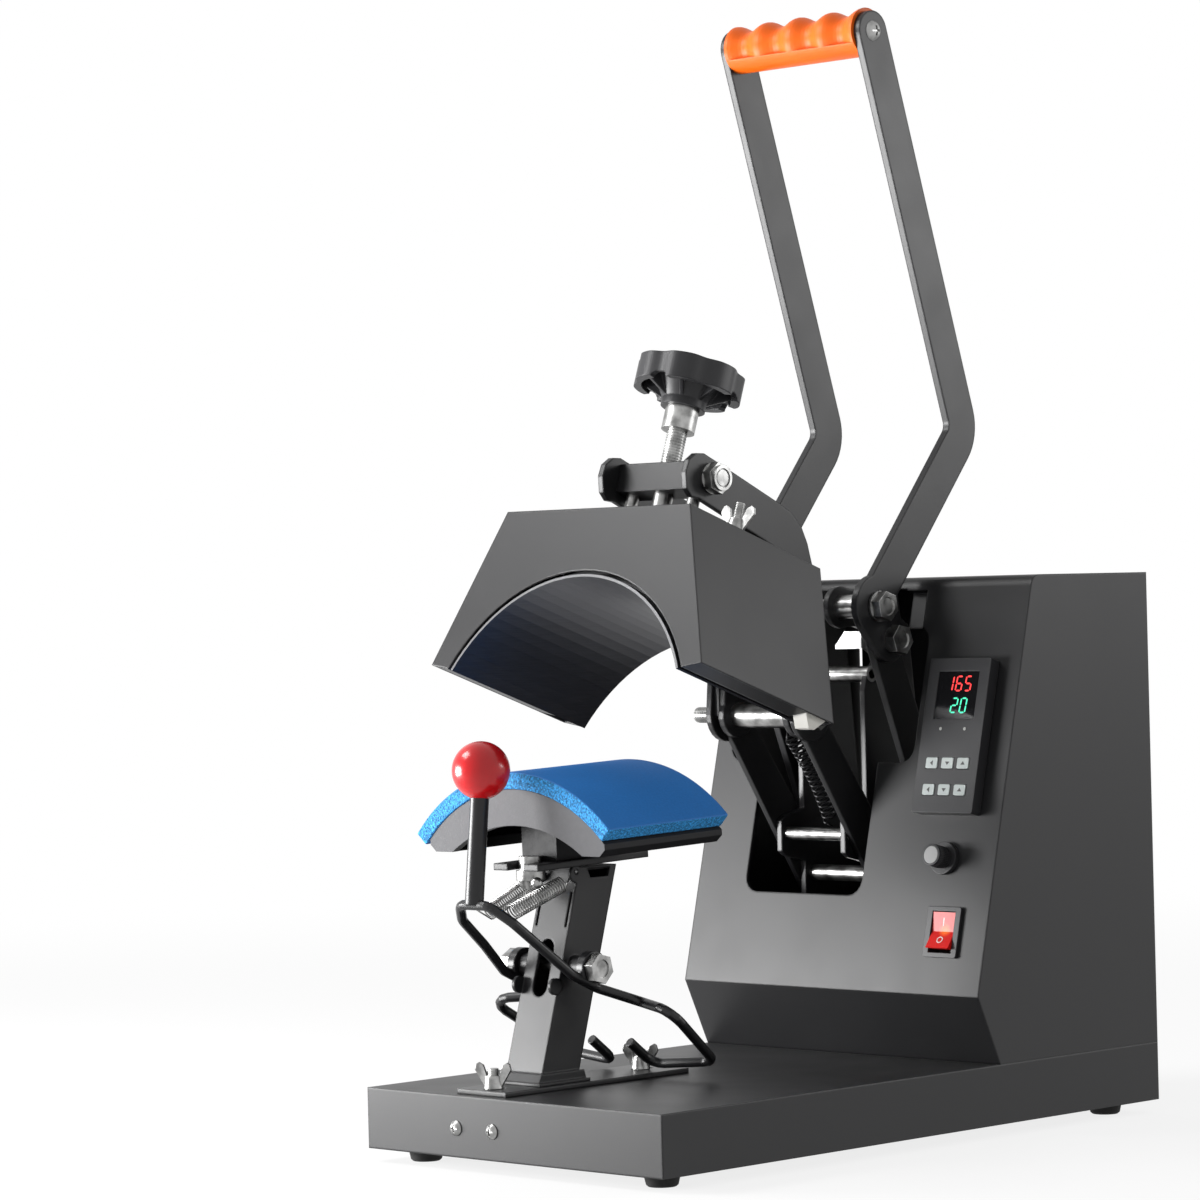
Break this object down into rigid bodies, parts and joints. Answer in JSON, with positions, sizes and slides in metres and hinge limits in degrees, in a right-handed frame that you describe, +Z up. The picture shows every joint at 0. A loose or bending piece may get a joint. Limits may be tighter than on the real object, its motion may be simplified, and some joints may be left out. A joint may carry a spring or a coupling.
{
  "type": "cap heat press",
  "caption": "Benchtop heat press for caps: a handle and linkage lower a curved heated head onto a foam-topped curved platen on a leaning post.",
  "frame": {"origin": "middle of the outline on the table, under the rubber feet", "axes": "+X to the machine's right seen from its front, +Y from the front to the back, +Z up"},
  "size_m": [0.2642, 0.4569, 0.6912],
  "materials": {
    "black_coat": "satin powder coat",
    "zinc": "bright zinc",
    "plate_steel": "satin dark plate",
    "hot_plate": "dark brushed coating",
    "rubber_black": "matte",
    "black_plastic": "fine texture",
    "grey_mould": "matte moulding",
    "orange_grip": "soft matte",
    "red_gloss": "gloss",
    "red_lens": "translucent look",
    "blue_foam": "closed-cell silicone foam",
    "key_grey": "matte",
    "element_band": "mica band and insulation",
    "white_plastic": "matte"
  },
  "bodies": {
    "base": {"base_tray": "black_coat", "base_cover": "plate_steel", "feet": "rubber_black", "case_screws": "zinc", "slide_studs": "zinc", "housing_shell": "black_coat", "rear_cover": "plate_steel", "power_inlet": "black_plastic", "relay": "white_plastic", "terminal_block": "white_plastic", "linkage_frame": "black_coat", "frame_rods": "zinc", "frame_brace": "zinc", "arm_pivot_shaft": "zinc", "handle_shaft": "zinc", "return_spring": "plate_steel", "controller": "black_plastic", "fuse_holder": "black_plastic", "rocker_switch": "black_plastic"},
    "handle": {"handle_arm_left": "black_coat", "handle_arm_right": "black_coat", "handle_grip": "orange_grip", "handle_bolts": "zinc"},
    "link_pair": {"links": "plate_steel"},
    "arm": {"upper_arm_left": "black_coat", "upper_arm_right": "black_coat", "lever_plate_left": "black_coat", "lever_plate_right": "black_coat", "crossbar": "plate_steel", "arm_bolts": "zinc", "cross_shaft": "zinc", "shaft_yoke": "plate_steel"},
    "heater": {"heater_cover": "plate_steel", "heater_plate": "hot_plate", "heating_element": "element_band", "guide_pins": "zinc", "thrust_block": "plate_steel"},
    "screw": {"pressure_screw": "zinc", "pressure_knob": "black_plastic"},
    "head_nut": {"head_wing_nut": "zinc"},
    "platform": {"slide_plate": "plate_steel", "support_post": "black_coat", "platen_base": "grey_mould", "platen_foam": "blue_foam", "platen_lock": "zinc", "lever_pivot": "zinc", "cap_spring_left": "zinc", "cap_spring_right": "zinc"},
    "lever": {"cap_lever": "black_coat", "lever_ball": "red_gloss"},
    "nut_front": {"wing_nut_front": "zinc"},
    "nut_rear": {"wing_nut_rear": "zinc"},
    "key_body_1": {"key_1": "key_grey"},
    "key_body_2": {"key_2": "key_grey"},
    "key_body_3": {"key_3": "key_grey"},
    "key_body_4": {"key_4": "key_grey"},
    "key_body_5": {"key_5": "key_grey"},
    "key_body_6": {"key_6": "key_grey"},
    "fuse": {"fuse_cap": "black_plastic"},
    "rocker": {"rocker_paddle": "red_lens"}
  },
  "joints": [
    {"name": "handle_swing", "type": "hinge", "parent": "base", "child": "handle", "pos_m": [-0.0189, 0.07355, 0.3207], "axis": [1, 0, 0], "range_deg": [0, 60]},
    {"name": "arm_swing", "type": "hinge", "parent": "base", "child": "arm", "pos_m": [-0.0189, 0.12635, 0.1173], "axis": [1, 0, 0], "range_deg": [0, 21.12], "deforming": ["return_spring"]},
    {"name": "link_swing", "type": "hinge", "parent": "handle", "child": "link_pair", "pos_m": [-0.0189, 0.08653, 0.29992], "axis": [1, 0, 0], "range_deg": [-61.5, 0]},
    {"name": "press_slide", "type": "slide", "parent": "arm", "child": "heater", "axis": [0, -0.3305, -0.9438], "range_m": [-0.008, 0.0015]},
    {"name": "screw_turn", "type": "hinge", "parent": "heater", "child": "screw", "pos_m": [-0.0189, -0.04229, 0.42324], "axis": [0, -0.3305, -0.9438], "range_deg": [-1646, 309]},
    {"name": "head_nut_turn", "type": "hinge", "parent": "heater", "child": "head_nut", "pos_m": [0.0451, -0.05929, 0.36986], "axis": [0, 0.3305, 0.9438], "continuous": true},
    {"name": "platform_slide", "type": "slide", "parent": "base", "child": "platform", "axis": [0, 1, 0], "range_m": [-0.006, 0.0035]},
    {"name": "lever_swing", "type": "hinge", "parent": "platform", "child": "lever", "pos_m": [-0.0189, -0.15395, 0.1141], "axis": [1, 0, 0], "range_deg": [0, 30], "stiffness_Nm_per_rad": 1.2, "springref_deg": -25.78, "deforming": ["cap_spring_left", "cap_spring_right"]},
    {"name": "front_nut_turn", "type": "hinge", "parent": "base", "child": "nut_front", "pos_m": [-0.0189, -0.20745, 0.05], "axis": [0, 0, 1], "continuous": true},
    {"name": "rear_nut_turn", "type": "hinge", "parent": "base", "child": "nut_rear", "pos_m": [-0.0189, -0.08545, 0.05], "axis": [0, 0, 1], "continuous": true},
    {"name": "key_press_1", "type": "slide", "parent": "base", "child": "key_body_1", "axis": [0, 0.9722, -0.2342], "range_m": [0, 0.0005], "stiffness_N_per_m": 900, "springref_m": -0.0005},
    {"name": "key_press_2", "type": "slide", "parent": "base", "child": "key_body_2", "axis": [0, 0.9722, -0.2342], "range_m": [0, 0.0005], "stiffness_N_per_m": 900, "springref_m": -0.0005},
    {"name": "key_press_3", "type": "slide", "parent": "base", "child": "key_body_3", "axis": [0, 0.9722, -0.2342], "range_m": [0, 0.0005], "stiffness_N_per_m": 900, "springref_m": -0.0005},
    {"name": "key_press_4", "type": "slide", "parent": "base", "child": "key_body_4", "axis": [0, 0.9722, -0.2342], "range_m": [0, 0.0005], "stiffness_N_per_m": 900, "springref_m": -0.0005},
    {"name": "key_press_5", "type": "slide", "parent": "base", "child": "key_body_5", "axis": [0, 0.9722, -0.2342], "range_m": [0, 0.0005], "stiffness_N_per_m": 900, "springref_m": -0.0005},
    {"name": "key_press_6", "type": "slide", "parent": "base", "child": "key_body_6", "axis": [0, 0.9722, -0.2342], "range_m": [0, 0.0005], "stiffness_N_per_m": 900, "springref_m": -0.0005},
    {"name": "fuse_turn", "type": "hinge", "parent": "base", "child": "fuse", "pos_m": [0.0931, 0.06121, 0.16857], "axis": [0, -0.9722, 0.2342], "range_deg": [0, 90]},
    {"name": "rocker_tip", "type": "hinge", "parent": "base", "child": "rocker", "pos_m": [0.0991, 0.06039, 0.12248], "axis": [1, 0, 0], "range_deg": [0, 18]}
  ],
  "couplings": [
    {"joint": "arm_swing", "follows": "handle_swing", "ratio": 0.352},
    {"joint": "link_swing", "follows": "handle_swing", "ratio": -1.0237},
    {"joint": "screw_turn", "follows": "press_slide", "rad_per_m": 3590.4}
  ]
}
